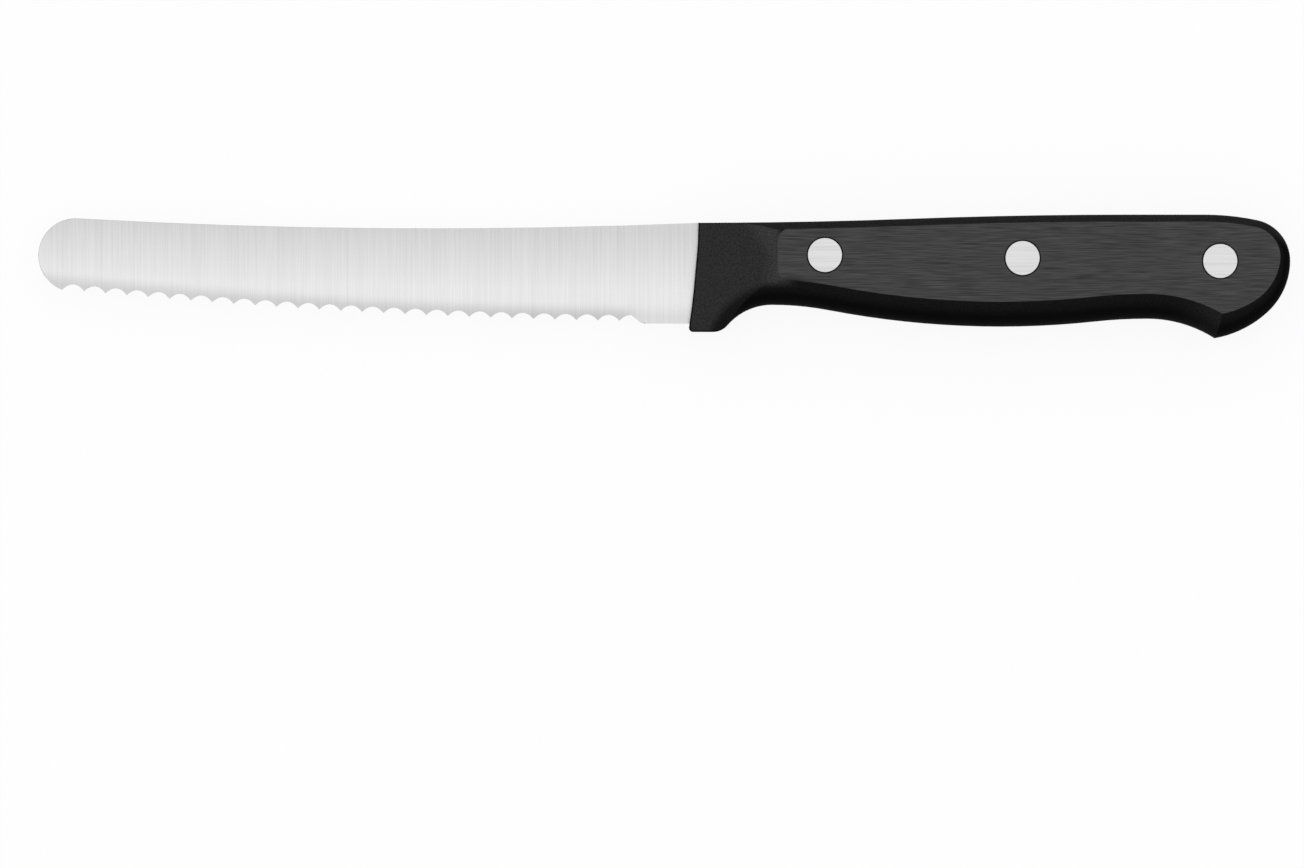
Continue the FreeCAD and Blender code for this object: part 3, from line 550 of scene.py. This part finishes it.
lines = noise(tree, where, SANDING_LINES, detail=2.0)
scratches = noise(tree, where, SCRATCHES, detail=1.0)
scratches = spread(tree, scratches, *SCRATCH_TONES, reach=SCRATCH_SPREAD)
lined = arithmetic(tree, "ADD", spread(tree, lines, *SANDED_TONES), scratches)
tone = mix(tree, sanded, moulded, lined)
moulded_roughness = spread(tree, grain, *SKIN_ROUGHNESS)
sanded_roughness = spread(tree, lines, *SANDED_ROUGHNESS)
paint(tree, surface, tone, mix(tree, sanded, moulded_roughness, sanded_roughness))
surface.inputs["Specular IOR Level"].default_value = PLASTIC_SHINE
raise_lines(tree, surface, mix(tree, sanded, grain, lines), PLASTIC_BUMP, GRAIN_DEPTH)
print("black plastic:", len(tree.nodes), "nodes")

# %% [markdown]
# ## The blade
#
# The blade is one piece of sheet steel, thinned to the edge and serrated from
# its right side. Its solid has that whole shape already. The grinding wheel
# leaves the last scoop in a soft curve, though, so the scoop's flank is drawn in
# a little and its corner with the plain heel is rounded. We could draw the
# scoop anew, but moving a few points keeps the solid's own faces.

# %% Soften the end of the teeth
FLANK_START = -6.2 * MM
FLANK_FULL = -5.0 * MM
FLANK_END = -2.5 * MM
FLANK_TOP = -4.0 * MM
FLANK_SHIFT = 0.43 * MM
HEEL_LINE = -8.5 * MM
HEEL_ANGLE = 30
HEEL_ROUND = 0.5 * MM
HEEL_STEPS = 4


def ease(value, start, end):
    """A soft step from nought to one between two values."""
    share = min(max((value - start) / (end - start), 0.0), 1.0)
    return share * share * (3 - 2 * share)


def at_heel(place):
    """Whether a place lies where the last scoop meets the plain heel."""
    return FLANK_START < place.x < FLANK_END and place.y < HEEL_LINE


shape = merged_copy("blade")
for point in shape.verts:
    if FLANK_START < point.co.x < FLANK_END and point.co.y < FLANK_TOP:
        point.co.x -= FLANK_SHIFT * ease(point.co.x, FLANK_START, FLANK_FULL)
heel = [e for e in sharp_edges(shape, HEEL_ANGLE) if all(at_heel(v.co) for v in e.verts)]
break_edges(shape, heel, HEEL_ROUND, steps=HEEL_STEPS)

# %% [markdown]
# The shoulder at the end of the spine is moved back to the line that the front
# of the handle is filed to further on. Then the spine and the round nose have
# their edges broken, and the teeth stay sharp.

# %% Dress the blade
SHOULDER_FRONT = 5.5 * MM
SHOULDER_BACK = 6.0 * MM
SHOULDER_FOOT = 8.0 * MM
SHOULDER_SHIFT = 0.4 * MM
SQUARE_ANGLE = 60
TOOTH_ROOM = 2.5 * MM
SPINE_BREAK = 0.12 * MM

shoulder = [
    point for point in shape.verts
    if SHOULDER_FRONT < point.co.x < SHOULDER_BACK and point.co.y > SHOULDER_FOOT
]
bmesh.ops.translate(shape, verts=shoulder, vec=(SHOULDER_SHIFT, 0, 0))
print("moved", len(shoulder), "points of the shoulder")

handle_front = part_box("left_scale")[0][0]


def on_spine(place):
    """Whether a place lies before the handle and well above the teeth."""
    reach = (EDGE_PIVOT - place.xy.to_3d()).length
    return place.x < handle_front and reach < EDGE_RADIUS - TOOTH_ROOM


spine = [e for e in sharp_edges(shape, SQUARE_ANGLE) if all(on_spine(v.co) for v in e.verts)]
break_edges(shape, spine, SPINE_BREAK)
finish_piece("ground_blade", shape, "blade", blade_steel)

# %% [markdown]
# ## The scales
#
# Each scale keeps its moulded shape, but the upper part of its front is filed
# back a little, to a straighter line, and the front edge of the guard is
# broken. Moving the points near the front does the filing without a cut, and
# keeps the shading of the solid.

# %% File the front of a scale
FILED_OFF = 0.28 * MM
FILED_FROM = 0.0
FILED_FULLY = 8.0 * MM
FRONT_LINE = 6.4 * MM
FILE_REACH = 10.0 * MM
GUARD_ANGLE = 45
GUARD_BREAK = 0.35 * MM
GUARD_LOW = 2.5 * MM
GUARD_HIGH = 6.2 * MM
GUARD_BACK = 10.9 * MM


def on_guard(place):
    """Whether a place lies on the outer rim of the guard, near the front."""
    return place.x < GUARD_BACK and GUARD_LOW < abs(place.z - MIDDLE) < GUARD_HIGH


def file_front(shape):
    """Draw back the upper part of a scale's front, and break the guard's edge."""
    for point in shape.verts:
        height = ease(point.co.y, FILED_FROM, FILED_FULLY)
        nearness = ease(point.co.x, FILE_REACH, FRONT_LINE)
        point.co.x += FILED_OFF * (height * nearness)
    guard = [e for e in sharp_edges(shape, GUARD_ANGLE) if all(on_guard(v.co) for v in e.verts)]
    break_edges(shape, guard, GUARD_BREAK, clamp=False)


# %% [markdown]
# Where the two scales meet, a broken edge on either side leaves the fine line
# that a hand feels along the back, and the broken edges of the rivet seats make
# dark rings. Then the corners of the mesh get the values that the plastic
# reads: level is one on the flat and nought on an upright wall, and the other
# two grow as a corner turns to the spine's side or to the tip.

# %% Dress the scales
JOINT_BREAK = 0.15 * MM
SEAT_BREAK = 0.24 * MM
LEVEL_SLACK = 0.001 * MM


def edges_at(shape, height):
    """The sharp edges of a shape that lie at one height."""
    return [
        edge for edge in sharp_edges(shape, SQUARE_ANGLE)
        if all(abs(end.co.z - height) < LEVEL_SLACK for end in edge.verts)
    ]


def write_on_corners(mesh, name, values):
    """Keep a value on every corner of a mesh, for its material to read."""
    attribute = mesh.attributes.new(name, "FLOAT", "CORNER")
    attribute.data.foreach_set("value", values)


for side, outer in (("left", 1), ("right", 0)):
    node = side + "_scale"
    shape = merged_copy(node)
    file_front(shape)
    break_edges(shape, edges_at(shape, MIDDLE), JOINT_BREAK)
    break_edges(shape, edges_at(shape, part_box(node)[outer][2]), SEAT_BREAK)
    piece = finish_piece(side + "_handle_scale", shape, node, black_plastic)
    ways = [way.vector.copy() for way in piece.data.corner_normals]
    write_on_corners(piece.data, "level", [abs(way.z) for way in ways])
    write_on_corners(piece.data, "back", [max(way.y, 0.0) for way in ways])
    write_on_corners(piece.data, "forward", [max(-way.x, 0.0) for way in ways])

# %% [markdown]
# ## The rivets
#
# A rivet is a post from the left, pressed into a socket from the right. Only
# their heads are seen, flush with the sanded flats. We could draw the ring
# round a head in its material, but a broken edge on the head and on its seat
# makes it from the shape, and it stays right from every side.

# %% Dress the rivets
RIVET_BREAK = 0.04 * MM

for place in ("front", "middle", "rear"):
    for half, outer in (("post", 1), ("socket", 0)):
        node = "%s_rivet_%s" % (place, half)
        shape = merged_copy(node)
        break_edges(shape, edges_at(shape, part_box(node)[outer][2]), RIVET_BREAK)
        finish_piece(node + "_steel", shape, node, rivet_steel)
